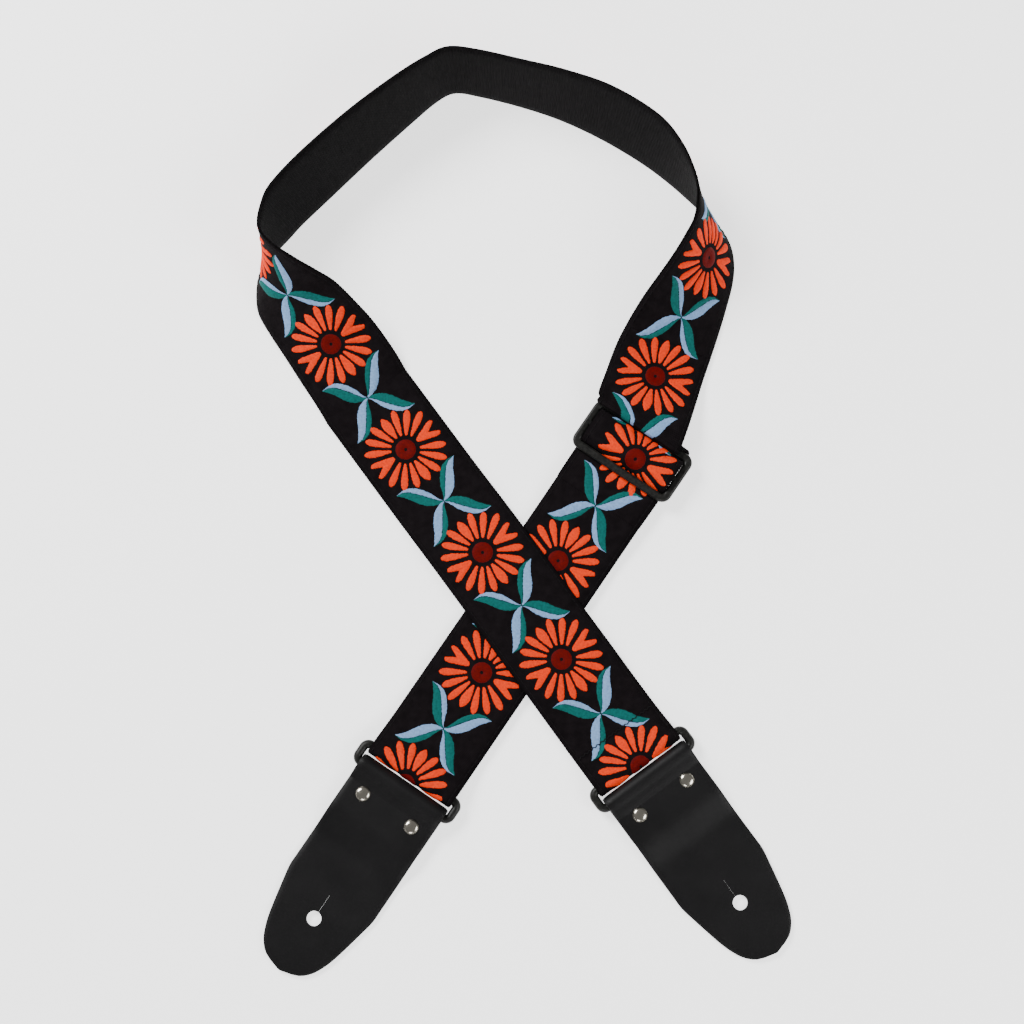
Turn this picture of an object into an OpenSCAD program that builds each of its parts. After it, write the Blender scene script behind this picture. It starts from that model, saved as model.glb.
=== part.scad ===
// Guitar strap: woven backing webbing with an embroidered face ribbon, two leather
// button tabs on ring loops, and a three-bar slider that sets the length.
// It lies on a flat surface, crossed over itself, with its loop stood on edge.

/* [Webbing] */
// Width of the strap
strap_w = 50; // [38:1:60]
// Thickness of the backing webbing
web_t = 1.3; // [0.8:0.1:1.8]
// Thickness of the embroidered face ribbon
ribbon_t = 0.5; // [0.3:0.1:0.8]
// How far the webbing is turned back under at the sewn end
tail_a = 26; // [18:1:40]
// How far the webbing is turned back at the slider
tail_b = 30; // [24:1:34]

/* [Rings] */
// Thickness of the ring's round rod
rod_d = 4.4; // [3.6:0.2:5]
// Distance between the middles of the ring's two long bars
ring_pitch = 10; // [9.6:0.2:14]
// Gap between the strap's edge and the ring's side, each side
ring_side = 0.8; // [0.3:0.1:1]

/* [Slider] */
// Distance from the ring to the slider's middle bar, along the strap
slider_run = 199; // [180:1:210]
// Distance between the slider's neighbouring bars
bar_pitch = 12.4; // [12:0.2:14]
// Width of the slider's outer bars and sides
bar_w = 4.2; // [3.6:0.2:4.6]
// Width of the slider's middle bar
mid_bar_w = 3.4; // [3:0.2:3.8]
// Thickness of the slider's bars
bar_t = 3.4; // [3:0.2:3.6]

/* [Leather tabs] */
// Width of the leather
tab_w = 50.8; // [44:0.4:56]
// Length of a tab from the ring's bar to its tip
tab_l = 107; // [96:1:120]
// Thickness of the leather
hide_t = 2.6; // [2:0.1:2.8]
// Distance from the ring's bar to the button hole
hole_at = 76.8; // [66:0.4:84]
// Diameter of the button hole
hole_d = 7.5; // [6:0.25:9]
// Length of the slit beside the hole
slit_l = 10; // [6:1:14]
// Distance from the ring's bar to the rivets
rivet_at = 12.5; // [11.5:0.5:15]
// Distance between the two rivets
rivet_pitch = 29.4; // [24:0.2:36]
// Diameter of a rivet's cap
cap_d = 7.6; // [6:0.2:9]

/* [Hidden] */

$fn = 48;
web_col = [0.09, 0.08, 0.085];
ribbon_col = [0.13, 0.11, 0.12];
thread_col = [0.25, 0.24, 0.24];
plastic_col = [0.2, 0.2, 0.2];
hide_col = [0.1, 0.1, 0.1];
nickel_col = [0.75, 0.74, 0.7];

// The strap's two faces, measured from its middle surface along the front's normal
strap_t = web_t + ribbon_t;
back_face = -strap_t / 2;
seam_face = strap_t / 2 - ribbon_t;
front_face = strap_t / 2;

// Clearances
lie = 0.3;        // between layers that lie loosely on each other, and the surface below
snug = 0.25;      // between a bar and what wraps round it
thread_t = 0.4;

// Heights of the middle surface of each layer above the surface that the strap lies on
z_flat = strap_t / 2;
z_under = lie + strap_t / 2;
z_top = z_under + strap_t + lie;
z_cross = z_top + strap_t + lie;
z_ring = rod_d / 2 + snug + hide_t;
turn_r = rod_d / 2 + snug + strap_t / 2;
hide_r = rod_d / 2 + snug + hide_t / 2;
z_tail_b = z_under + strap_t + 0.05;
z_press = z_tail_b + strap_t + 0.25;
z_bar = z_press + strap_t / 2 + 0.25 + bar_t / 2;
loop_r = max(mid_bar_w, bar_t) / 2 + snug + strap_t / 2;
z_hump = z_bar + loop_r + strap_t + 0.2;

// Where the two ends lie: the webbing's bar of each ring, and the arm's heading,
// in degrees clockwise from +Y. centre brings the footprint's middle to the origin.
centre = [-0.7, 3.5, 0];
bar_a = [61 + centre[0], -131.7 + centre[1]];
head_a = -36.2;
bar_b = [-51.5 + centre[0], -137.7 + centre[1]];
head_b = 34.2;
dir_a = [sin(head_a), cos(head_a), 0];
dir_b = [sin(head_b), cos(head_b), 0];
wide_a = [dir_a[1], -dir_a[0], 0];
wide_b = [-dir_b[1], dir_b[0], 0];

// Distances along arm A from the ring's bar
seam_at = tail_a - 2;
cross_at = 97;
cross_half = 37;
arm_a_end = 234;

// Distances along arm B from the ring's bar
turn_l = 30;
run_split = 100;

function unit(v) = v / norm(v);
function ease(x) = let (c = max(0, min(1, x))) c * c * (3 - 2 * c);

// Height at distance u through a list of [u, z], level at each of them
function level(k, u, i = 0) =
    u <= k[0][0] ? k[0][1] :
    i >= len(k) - 1 ? k[len(k) - 1][1] :
    u > k[i + 1][0] ? level(k, u, i + 1) :
    k[i][1] + (k[i + 1][1] - k[i][1]) * ease((u - k[i][0]) / (k[i + 1][0] - k[i][0]));

// A smooth curve through points of any dimension, with n steps between two of them
function curve(p, n) = concat(
    [for (i = [0:len(p) - 2]) for (j = [0:n - 1])
        let (
            a = p[max(i - 1, 0)], b = p[i], c = p[i + 1], d = p[min(i + 2, len(p) - 1)],
            t = j / n
        )
        0.5 * (2 * b + (c - a) * t + (2 * a - 5 * b + 4 * c - d) * t * t
            + (3 * b - a - 3 * c + d) * t * t * t)],
    [p[len(p) - 1]]
);

// Points on a round turn in the plane, from angle a0 to a1
function turn(centre, r, a0, a1, n) =
    [for (i = [0:n]) let (a = a0 + (a1 - a0) * i / n) centre + r * [cos(a), sin(a)]];

// Along a list of places, the direction at place i
function along(p, i) = unit(p[min(i + 1, len(p) - 1)] - p[max(i - 1, 0)]);

// ---- Arm A and the loop: each frame is [middle of the strap, unit vector to its high edge]

// Side view of the sewn end, from the turned-back end, round the bar, to the arm
end_a = concat(
    curve([
        [tail_a, z_under], [tail_a - 5, z_under], [tail_a - 10, z_under + 0.1],
        [6, z_ring - turn_r - 0.15]
    ], 2),
    turn([0, z_ring], turn_r, 270, 90, 14),
    curve([
        [5, z_ring + turn_r - 0.5], [10, z_ring + 0.4], [15, z_under + strap_t + 1],
        [20, z_under + strap_t + 0.15], [tail_a, z_under + strap_t], [tail_a + 6, z_under + strap_t + 0.05]
    ], 3)
);

arm_a_heights = [
    [tail_a + 6, z_under + strap_t + 0.05], [cross_at - cross_half, z_cross],
    [cross_at + cross_half, z_cross], [cross_at + cross_half + 46, z_flat]
];

function arm_a_frame(u, z) = [[bar_a[0], bar_a[1], z] + u * dir_a, wide_a];

// The loop: the low edge's place and the lean of the strap's width up from it
loop_stations = [
    [[-103.5, 52.5, 0], [40, 28.5, 6]],
    [[-112, 65.5, 0], [39.5, 27, 12]],
    [[-120, 78, 0], [38.5, 24, 21]],
    [[-128.5, 91, 0], [36.5, 20, 27.5]],
    [[-134, 101, 0], [32, 14.5, 35.5]],
    [[-135.5, 109.5, 0], [24, 10, 43]],
    [[-134.5, 121, 0], [12, 4.5, 48.3]],
    [[-129, 132, 0], [-0.5, 2.5, 50]],
    [[-119, 143.5, 0], [-9, 4, 49]],
    [[-112, 151.5, 0], [-11.5, 6, 48.3]],
    [[-98, 165.5, 0], [-10.5, 9, 48]],
    [[-77, 186.5, 0], [-8, 9.5, 48.4]],
    [[-56, 206.5, 0], [-5.6, 7.6, 49]],
    [[-42, 219, 0], [-3.7, 5.4, 49.6]],
    [[-32, 224, 0], [-2.5, 5.5, 49.5]],
    [[-18.5, 222, 0], [-1, 6, 49.5]],
    [[2.5, 216.5, 0], [1.5, 6, 49.6]],
    [[24, 209, 0], [2.3, 8, 49.3]],
    [[45.5, 198.5, 0], [4.5, 10, 48.8]],
    [[66.5, 185.5, 0], [6.5, 8, 48.9]],
    [[82, 173.5, 0], [3, 4, 49.7]],
    [[96.5, 160, 0], [-5, 0.5, 49.7]],
    [[107, 149.5, 0], [-14.5, 0, 47.8]],
    [[113, 139.5, 0], [-22, 0.5, 44.8]],
    [[115, 129, 0], [-28.5, 3, 41]],
    [[114, 117.5, 0], [-33, 6, 37]],
    [[110.5, 104, 0], [-37, 9.5, 32]],
    [[106.5, 90.5, 0], [-41.5, 12.5, 25]],
    [[102, 77, 0.15], [-44.8, 14, 17]]
];
upper_stations = [
    [[102, 77, 0.15], [-44.8, 14, 17]],
    [[98, 65.5, 1], [-46.5, 15.5, 11]],
    [[93, 50, 5], [-47, 17, 7]],
    [[89.2, 38.7, 10], [-46, 19.5, 2.5]]
];

function station_frame(s) =
    let (w = unit([s[1], s[2], s[3]]))
    [[s[0], s[4], s[5] + z_flat * sqrt(max(0, 1 - w[2] * w[2]))] + centre + w * strap_w / 2, w];
function flat6(s) = [s[0][0], s[1][0], s[1][1], s[1][2], s[0][1], s[0][2]];
arm_a_last = [bar_a[0], bar_a[1], 0] - centre + arm_a_end * dir_a - wide_a * strap_w / 2;

shoulder_frames = concat(
    [for (q = end_a) arm_a_frame(q[0], q[1])],
    [for (u = [tail_a + 12:7:arm_a_end - 3]) arm_a_frame(u, level(arm_a_heights, u))],
    [for (s = curve([
        for (s = concat([[arm_a_last, wide_a * strap_w]], loop_stations)) flat6(s)
    ], 4)) station_frame(s)]
);

// The slider's frame on arm B, and the fold of slack webbing that covers its upper bar
function on_b(u, z) = [bar_b[0], bar_b[1], z] + u * dir_b;
fold_end = slider_run + bar_pitch + 0.5;
fold_r = strap_t / 2 + 0.05;
z_fold_under = z_bar + bar_t / 2 + 0.25 + strap_t / 2;
z_fold = z_fold_under + 2 * fold_r;
askew = 4.6;      // how far left of arm B's middle the slack webbing reaches the slider
function on_fold(u) = on_b(u, z_fold) + askew * wide_b;
fold_station = [
    on_fold(fold_end + 0.6) - centre - wide_b * strap_w / 2 - [0, 0, strap_t / 2],
    wide_b * strap_w
];
upper_frames = concat(
    [for (s = curve([
        for (s = concat(upper_stations, [fold_station])) flat6(s)
    ], 4)) station_frame(s)],
    [[on_fold(fold_end), wide_b]]
);

// A closed band that follows the frames, between two heights over its middle surface
module band(frames, lo, hi) {
    mids = [for (f = frames) f[0]];
    n = len(frames);
    rings = [for (i = [0:n - 1])
        let (w = frames[i][1], up = unit(cross(w, along(mids, i))), half = w * strap_w / 2)
        each [
            mids[i] - half + up * lo, mids[i] + half + up * lo,
            mids[i] + half + up * hi, mids[i] - half + up * hi
        ]];
    sides = [for (i = [0:n - 2]) for (k = [0:3])
        let (a = 4 * i + k, b = 4 * i + (k + 1) % 4)
        each k == 2 ? [[a, b, a + 4], [b, b + 4, a + 4]] : [[a, b, b + 4], [a, b + 4, a + 4]]];
    last = 4 * (n - 1);
    polyhedron(rings, concat(sides, [[0, 2, 1], [0, 3, 2]],
        [[last, last + 1, last + 2], [last, last + 2, last + 3]]));
}

// ---- Arm B: side views, as [distance from the ring's bar, height], in the webbing's order

fold_side = concat(
    [[bar_pitch + 0.5, z_fold]],
    turn([bar_pitch + 0.1, z_fold - fold_r], fold_r, 90, 270, 8),
    [[bar_pitch + 0.5, z_fold_under]]
);
slider_side = [
    [bar_pitch + 0.6, z_fold_under], [bar_pitch + 1.5, z_fold_under - 0.15],
    [bar_pitch + 2.9, z_bar + 1.9], [bar_pitch + 3.5, z_bar + 0.1],
    [bar_pitch + 2.9, z_bar - 1.7], [bar_pitch + 1.6, z_press + 0.15], [bar_pitch, z_press],
    [bar_pitch - 1.6, z_press + 0.15], [bar_pitch - 2.9, z_bar - 1.7], [bar_pitch - 3.5, z_bar],
    [bar_pitch - 3.7, z_bar + 2], [bar_pitch - 4.8, z_hump - 1.7], [4.6, z_hump - 0.2],
    [0, z_hump], [-4.4, z_hump - 0.5], [-7.4, z_hump - 2.6],
    [-bar_pitch + 3.5, z_bar + 0.2], [-bar_pitch + 2.9, z_bar - 1.7],
    [-bar_pitch + 1.6, z_press + 0.15], [-bar_pitch, z_press], [-bar_pitch - 4, z_press],
    [-24, z_press], [-tail_b - 2, z_press]
];
fold_mid = [for (q = fold_side) [slider_run + q[0], q[1]]];
window_mid = [
    for (q = concat([[bar_pitch + 0.5, z_fold_under]], curve(slider_side, 3)))
        [slider_run + q[0], q[1]]
];

loop_mid = [for (q = concat(
    [[-tail_b - 1, z_under], [-18, z_under]],
    curve([[-12, z_under], [-9, z_under + 0.25], [-6, z_under + 1.1], [-2.6, z_bar - loop_r - 1]], 4),
    turn([0, z_bar], loop_r, 275, 360 + 180, 20),
    curve([[-loop_r - 0.7, z_bar - 1.4], [-6, z_tail_b + 1.8], [-9, z_tail_b + 0.6],
        [-12, z_tail_b]], 4),
    [[-tail_b, z_tail_b]]
)) [slider_run + q[0], q[1]]];

under_from = turn_l;
under_to = slider_run - tail_b - 1;
run_start = slider_run - tail_b - 2;
run_mid = concat([[run_start, z_press]], curve([
    [run_start - 2, z_press], [run_start - 7, z_press - 0.2], [run_start - 14, z_top + 0.7],
    [run_start - 24, z_top], [run_start - 32, z_top], [run_split, z_top]
], 3));
turn_mid = concat(
    [[turn_l, z_top]],
    curve([
        [24, z_top], [18, z_top + 0.8], [11, z_ring + turn_r - 2.6],
        [5.5, z_ring + turn_r - 0.6]
    ], 3),
    turn([0, z_ring], turn_r, 90, 270, 14),
    curve([[6, z_under + 0.35], [12, z_under + 0.1], [18, z_under]], 3),
    [[turn_l, z_under]]
);

// Outline of a band in side view. side is 1 where the front lies left of the way the points
// run, and -1 where it lies right.
function edge_line(p, off) =
    [for (i = [0:len(p) - 1]) let (d = along(p, i)) p[i] + off * [d[1], -d[0]]];
module side_view(p, lo, hi) {
    n = len(p);
    polygon(concat(
        edge_line(p, hi),
        [for (i = [n - 1:-1:0]) edge_line(p, lo)[i]]
    ));
}
module on_arm_b() {
    translate([bar_b[0], bar_b[1], 0])
        rotate([0, 0, 90 - head_b])
            children();
}
module on_arm_a() {
    translate([bar_a[0], bar_a[1], 0])
        rotate([0, 0, 90 - head_a])
            children();
}
module across(w) {
    rotate([90, 0, 0])
        linear_extrude(height = w, center = true)
            children();
}
module strip_b(p, lo, hi, aside) {
    on_arm_b()
        translate([0, aside, 0])
            across(strap_w)
                side_view(p, lo, hi);
}
module web_b(p, aside = 0) {
    color(web_col)
        strip_b(p, back_face, seam_face, aside);
}
module ribbon_b(p, aside = 0) {
    color(ribbon_col)
        strip_b(p, seam_face, front_face, aside);
}

// ---- Webbing and ribbon

module web_shoulder() {
    color(web_col)
        band(shoulder_frames, back_face, seam_face);
}
module ribbon_shoulder() {
    color(ribbon_col)
        band(shoulder_frames, seam_face, front_face);
}
module web_upper_run() {
    color(web_col)
        band(upper_frames, back_face, seam_face);
}
module ribbon_upper_run() {
    color(ribbon_col)
        band(upper_frames, seam_face, front_face);
}
module web_slider() {
    web_b(fold_mid, askew);
    web_b(window_mid);
}
module ribbon_slider() {
    ribbon_b(fold_mid, askew);
    ribbon_b(window_mid);
}
module web_end_loop() {
    web_b(loop_mid);
}
module ribbon_end_loop() {
    ribbon_b(loop_mid);
}
module web_run_slider_side() {
    web_b(run_mid);
}
module ribbon_run_slider_side() {
    ribbon_b(run_mid);
}
module web_run_ring_side() {
    web_b([[run_split, z_top], [turn_l, z_top]]);
}
module ribbon_run_ring_side() {
    ribbon_b([[run_split, z_top], [turn_l, z_top]]);
}
module web_under_run() {
    web_b([[under_from, z_under], [under_to, z_under]]);
}
module ribbon_under_run() {
    ribbon_b([[under_from, z_under], [under_to, z_under]]);
}
module web_ring_turn() {
    web_b(turn_mid);
}
module ribbon_ring_turn() {
    ribbon_b(turn_mid);
}

// ---- Seams: a row of crossed stitches lying on the webbing

stitch_l = 3;
stitch_rise = 0.06;   // the arm already climbs a little under seam A
module cross_stitches(z, t) {
    count = floor((strap_w - 6) / stitch_l);
    for (i = [0:count - 1], lean = [-35, 35])
        translate([0, (i - (count - 1) / 2) * stitch_l, z])
            rotate([0, 0, lean])
                translate([lean > 0 ? 0.9 : -0.9, 0, t / 2])
                    cube([1.6, thread_t, t], center = true);
}
module seam_a() {
    color(thread_col)
        on_arm_a()
            translate([seam_at - 1, 0, 0])
                cross_stitches(z_under + strap_t + front_face + stitch_rise, thread_t);
}
module seam_b() {
    color(thread_col)
        on_arm_b()
            translate([slider_run - tail_b + 2.5, 0, 0])
                cross_stitches(z_tail_b + strap_t / 2, thread_t / 2);
}

// ---- Rings: round rod bent to a rounded rectangle, with its two long bars across the strap

ring_corner = 2.9;
ring_w = strap_w + 2 * ring_side + rod_d;
module rod_loop(length, width, corner) {
    for (x = [0, length])
        translate([x, 0, 0])
            rotate([90, 0, 0])
                cylinder(d = rod_d, h = width - 2 * corner, center = true);
    for (side = [-1, 1])
        translate([corner, side * width / 2, 0])
            rotate([0, 90, 0])
                cylinder(d = rod_d, h = length - 2 * corner);
    for (q = [[0, length, 1], [90, 0, 1], [180, 0, -1], [270, length, -1]])
        translate([q[1] == 0 ? corner : length - corner, q[2] * (width / 2 - corner), 0])
            rotate([0, 0, q[0]])
                rotate_extrude(angle = 90)
                    translate([corner, 0])
                        circle(d = rod_d);
}
module ring() {
    color(plastic_col)
        translate([-ring_pitch, 0, z_ring])
            rod_loop(ring_pitch, ring_w, ring_corner);
}
module ring_a() {
    on_arm_a()
        ring();
}
module ring_b() {
    on_arm_b()
        ring();
}

// ---- Slider: one moulding, a rounded frame with a bar across its middle

slider_side_gap = 0.45;
slider_corner = 3.2;
edge_r = 1.4;
module bar_section(w) {
    square([w - 2 * edge_r, bar_t], center = true);
    square([w, bar_t - 2 * edge_r], center = true);
    for (x = [-1, 1], y = [-1, 1])
        translate([x * (w / 2 - edge_r), y * (bar_t / 2 - edge_r)])
            circle(r = edge_r);
}
module slider() {
    span = strap_w + 2 * slider_side_gap + bar_w;
    length = 2 * bar_pitch;
    color(plastic_col)
        on_arm_b()
            translate([slider_run, 0, z_bar]) {
                for (x = [-1, 1])
                    translate([x * bar_pitch, 0, 0])
                        rotate([90, 0, 0])
                            linear_extrude(height = span - 2 * slider_corner, center = true)
                                bar_section(bar_w);
                rotate([90, 0, 0])
                    linear_extrude(height = span, center = true)
                        bar_section(mid_bar_w);
                for (y = [-1, 1])
                    translate([0, y * span / 2, 0])
                        rotate([90, 0, 90])
                            linear_extrude(height = length - 2 * slider_corner, center = true)
                                bar_section(bar_w);
                for (q = [[0, 1, 1], [90, -1, 1], [180, -1, -1], [270, 1, -1]])
                    translate([
                        q[1] * (length / 2 - slider_corner), q[2] * (span / 2 - slider_corner), 0
                    ])
                        rotate([0, 0, q[0]])
                            rotate_extrude(angle = 90)
                                translate([slider_corner, 0])
                                    bar_section(bar_w);
            }
}

// ---- Leather tabs: measured from the ring's outer bar towards the tip

z_flap = 1.2 + hide_t / 2;
ply_gap = 0.1;
z_face = z_flap + hide_t + ply_gap;
z_tip = hide_t / 2;
flap_l = 22;
taper_at = 62;
hide_mid = concat(
    [[flap_l, z_flap], [16, z_flap]],
    curve([[9, z_flap], [5.5, z_flap - 0.6], [3, z_ring - hide_r + 0.1]], 3),
    turn([0, z_ring], hide_r, 270, 90, 16),
    curve([[3, z_ring + hide_r - 0.6], [5.8, z_face + 1.3], [8.6, z_face]], 4),
    [[16, z_face], [flap_l + 1, z_face]],
    [for (u = [flap_l + 4:3:42]) [u, level([[flap_l + 1, z_face], [42, z_tip]], u)]],
    [[44, z_tip], [tab_l + 6, z_tip]]
);
tip_side = curve([
    [taper_at - 6, tab_w / 2], [taper_at, tab_w / 2 - 0.1], [taper_at + 8, tab_w / 2 - 1.6],
    [tab_l - 21, tab_w / 2 - 5.1], [tab_l - 13, tab_w / 2 - 7.7],
    [tab_l - 7, tab_w / 2 - 11], [tab_l - 2.4, tab_w / 2 - 16.4],
    [tab_l, 0]
], 6);
module tab_outline() {
    polygon(concat(
        [[-hide_r * 2, tab_w / 2]], tip_side,
        [for (i = [len(tip_side) - 2:-1:0]) [tip_side[i][0], -tip_side[i][1]]],
        [[-hide_r * 2, -tab_w / 2]]
    ));
}
module leather() {
    color(hide_col)
        difference() {
            intersection() {
                across(tab_w + 2)
                    side_view(hide_mid, -hide_t / 2, hide_t / 2);
                translate([0, 0, -1])
                    linear_extrude(height = 2 * z_ring + 10)
                        tab_outline();
            }
            for (y = [-1, 1])
                translate([rivet_at, y * rivet_pitch / 2, 0])
                    cylinder(d = post_d + 0.1, h = 20);
            translate([hole_at, 0, -1])
                cylinder(d = hole_d, h = hide_t + 2);
            translate([hole_at - hole_d / 2 - slit_l, -slit_w / 2, -1])
                cube([slit_l + 1, slit_w, hide_t + 2]);
        }
}
slit_w = 0.6;
post_d = 3;
cap_t = 1.1;

// A rivet's post and front cap, one piece
module rivet() {
    color(nickel_col)
        rotate_extrude()
            polygon([
                [0, z_flap - hide_t / 2], [post_d / 2, z_flap - hide_t / 2],
                [post_d / 2, z_face + hide_t / 2], [cap_d / 2, z_face + hide_t / 2],
                [cap_d / 2, z_face + hide_t / 2 + 0.5], [cap_d / 2 - 1, z_face + hide_t / 2 + cap_t],
                [cap_d / 2 - 2.2, z_face + hide_t / 2 + cap_t + 0.3],
                [0, z_face + hide_t / 2 + cap_t + 0.4]
            ]);
}
// The cap pressed on the back
module rivet_back() {
    color(nickel_col)
        translate([0, 0, z_flap - hide_t / 2])
            rotate_extrude()
                polygon([
                    [0, 0], [cap_d / 2, 0], [cap_d / 2, -0.4], [cap_d / 2 - 1, -0.9],
                    [0, -1]
                ]);
}
module at_rivets() {
    for (y = [-1, 1])
        translate([rivet_at, y * rivet_pitch / 2, 0])
            children();
}
module past_ring_a() {
    on_arm_a()
        translate([-ring_pitch, 0, 0])
            rotate([0, 0, 180])
                children();
}
module past_ring_b() {
    on_arm_b()
        translate([-ring_pitch, 0, 0])
            rotate([0, 0, 180])
                children();
}
module tab_a() {
    past_ring_a()
        leather();
}
module rivets_a() {
    past_ring_a()
        at_rivets()
            rivet();
}
module rivet_backs_a() {
    past_ring_a()
        at_rivets()
            rivet_back();
}
module tab_b() {
    past_ring_b()
        leather();
}
module rivets_b() {
    past_ring_b()
        at_rivets()
            rivet();
}
module rivet_backs_b() {
    past_ring_b()
        at_rivets()
            rivet_back();
}

web_shoulder();
ribbon_shoulder();
seam_a();
web_upper_run();
ribbon_upper_run();
web_slider();
ribbon_slider();
slider();
web_end_loop();
ribbon_end_loop();
seam_b();
web_run_slider_side();
ribbon_run_slider_side();
web_run_ring_side();
ribbon_run_ring_side();
web_under_run();
ribbon_under_run();
web_ring_turn();
ribbon_ring_turn();
ring_a();
tab_a();
rivets_a();
rivet_backs_a();
ring_b();
tab_b();
rivets_b();
rivet_backs_b();
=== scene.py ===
import math
import random

import bpy
import numpy as np
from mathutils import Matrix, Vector


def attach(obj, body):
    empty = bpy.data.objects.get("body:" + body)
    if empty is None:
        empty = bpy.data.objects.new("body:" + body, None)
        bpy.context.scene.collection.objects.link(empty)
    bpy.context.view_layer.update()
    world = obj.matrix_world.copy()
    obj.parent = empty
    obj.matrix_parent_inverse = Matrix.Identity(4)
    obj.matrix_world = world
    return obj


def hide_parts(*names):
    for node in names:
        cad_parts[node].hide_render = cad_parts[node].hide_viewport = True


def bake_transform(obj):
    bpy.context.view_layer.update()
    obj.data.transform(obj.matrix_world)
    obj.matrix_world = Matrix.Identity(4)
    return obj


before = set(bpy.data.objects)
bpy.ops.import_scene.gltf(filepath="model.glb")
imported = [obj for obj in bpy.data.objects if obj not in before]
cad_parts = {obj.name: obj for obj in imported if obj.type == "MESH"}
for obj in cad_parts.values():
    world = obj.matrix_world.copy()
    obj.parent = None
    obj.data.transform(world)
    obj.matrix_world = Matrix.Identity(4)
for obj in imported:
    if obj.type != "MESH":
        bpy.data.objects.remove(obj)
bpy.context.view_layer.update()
random.seed(7)
MM = 0.001

# ---- The strap's course: the sizes and stations of the CAD source, in millimetres ----

STRAP_W = 50.0
WEB_T, RIBBON_T = 1.3, 0.5
STRAP_T = WEB_T + RIBBON_T
BACK, SEAM, FRONT = -STRAP_T / 2, STRAP_T / 2 - RIBBON_T, STRAP_T / 2
ROD_D, HIDE_T, LIE, SNUG = 4.4, 2.6, 0.3, 0.25
RING_PITCH = 10.0
BAR_PITCH, BAR_T, MID_BAR_W = 12.4, 3.4, 3.4
SLIDER_RUN, TAIL_A, TAIL_B, TURN_L, RUN_SPLIT = 199.0, 26.0, 30.0, 30.0, 100.0
Z_UNDER = LIE + STRAP_T / 2
Z_TOP = Z_UNDER + STRAP_T + LIE
Z_CROSS = Z_TOP + STRAP_T + LIE
Z_RING = ROD_D / 2 + SNUG + HIDE_T
TURN_R = ROD_D / 2 + SNUG + STRAP_T / 2
HIDE_R = ROD_D / 2 + SNUG + HIDE_T / 2
Z_TAIL_B = Z_UNDER + STRAP_T + 0.05
Z_PRESS = Z_TAIL_B + STRAP_T + 0.25
Z_BAR = Z_PRESS + STRAP_T / 2 + 0.25 + BAR_T / 2
LOOP_R = MID_BAR_W / 2 + SNUG + STRAP_T / 2
Z_HUMP = Z_BAR + LOOP_R + STRAP_T + 0.2
FOLD_END, FOLD_R, ASKEW = SLIDER_RUN + BAR_PITCH + 0.5, STRAP_T / 2 + 0.05, 4.6
Z_FOLD_UNDER = Z_BAR + BAR_T / 2 + 0.25 + STRAP_T / 2
Z_FOLD = Z_FOLD_UNDER + 2 * FOLD_R
UNDER_TO = SLIDER_RUN - TAIL_B - 1
RUN_START = SLIDER_RUN - TAIL_B - 2
CENTRE = np.array([-0.7, 3.5, 0])


class Arm:
    """One straight arm: its ring's bar, its way along and its way across."""

    def __init__(self, bar, heading, side):
        a = math.radians(heading)
        self.bar = np.array([*bar, 0.0]) + CENTRE
        self.dir = np.array([math.sin(a), math.cos(a), 0])
        self.wide = side * np.array([self.dir[1], -self.dir[0], 0])

    def at(self, u, z):
        return self.bar + u * self.dir + np.array([0, 0, z])

    def place(self, p):
        """Points [u, y, z] of the arm's own frame, in metres of the shared frame."""
        p = np.asarray(p, float)
        across = np.array([-self.dir[1], self.dir[0], 0])
        up = np.array([0, 0, 1.0])
        return (self.bar + p[:, :1] * self.dir + p[:, 1:2] * across + p[:, 2:] * up) * MM


ARM_A = Arm((61, -131.7), -36.2, 1)
ARM_B = Arm((-51.5, -137.7), 34.2, -1)


def unit(v):
    return v / np.linalg.norm(v)


def curve(points, n):
    """A Catmull-Rom curve through the points, with n steps between two of them."""
    p = [np.asarray(q, float) for q in points]
    out = []
    for i in range(len(p) - 1):
        a, b, c, d = p[max(i - 1, 0)], p[i], p[i + 1], p[min(i + 2, len(p) - 1)]
        for j in range(n):
            t = j / n
            out.append(0.5 * (2 * b + (c - a) * t + (2 * a - 5 * b + 4 * c - d) * t**2
                              + (3 * b - a - 3 * c + d) * t**3))
    return out + [p[-1]]


def turn(z, r, a0, a1, n):
    angles = np.radians(np.linspace(a0, a1, n + 1))
    return [np.array([r * math.cos(a), z + r * math.sin(a)]) for a in angles]


def level(knots, u):
    """Height at u, easing from each knot to the next."""
    if u <= knots[0][0]:
        return knots[0][1]
    for (u0, z0), (u1, z1) in zip(knots, knots[1:]):
        if u <= u1:
            t = (u - u0) / (u1 - u0)
            return z0 + (z1 - z0) * t * t * (3 - 2 * t)
    return knots[-1][1]


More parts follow.
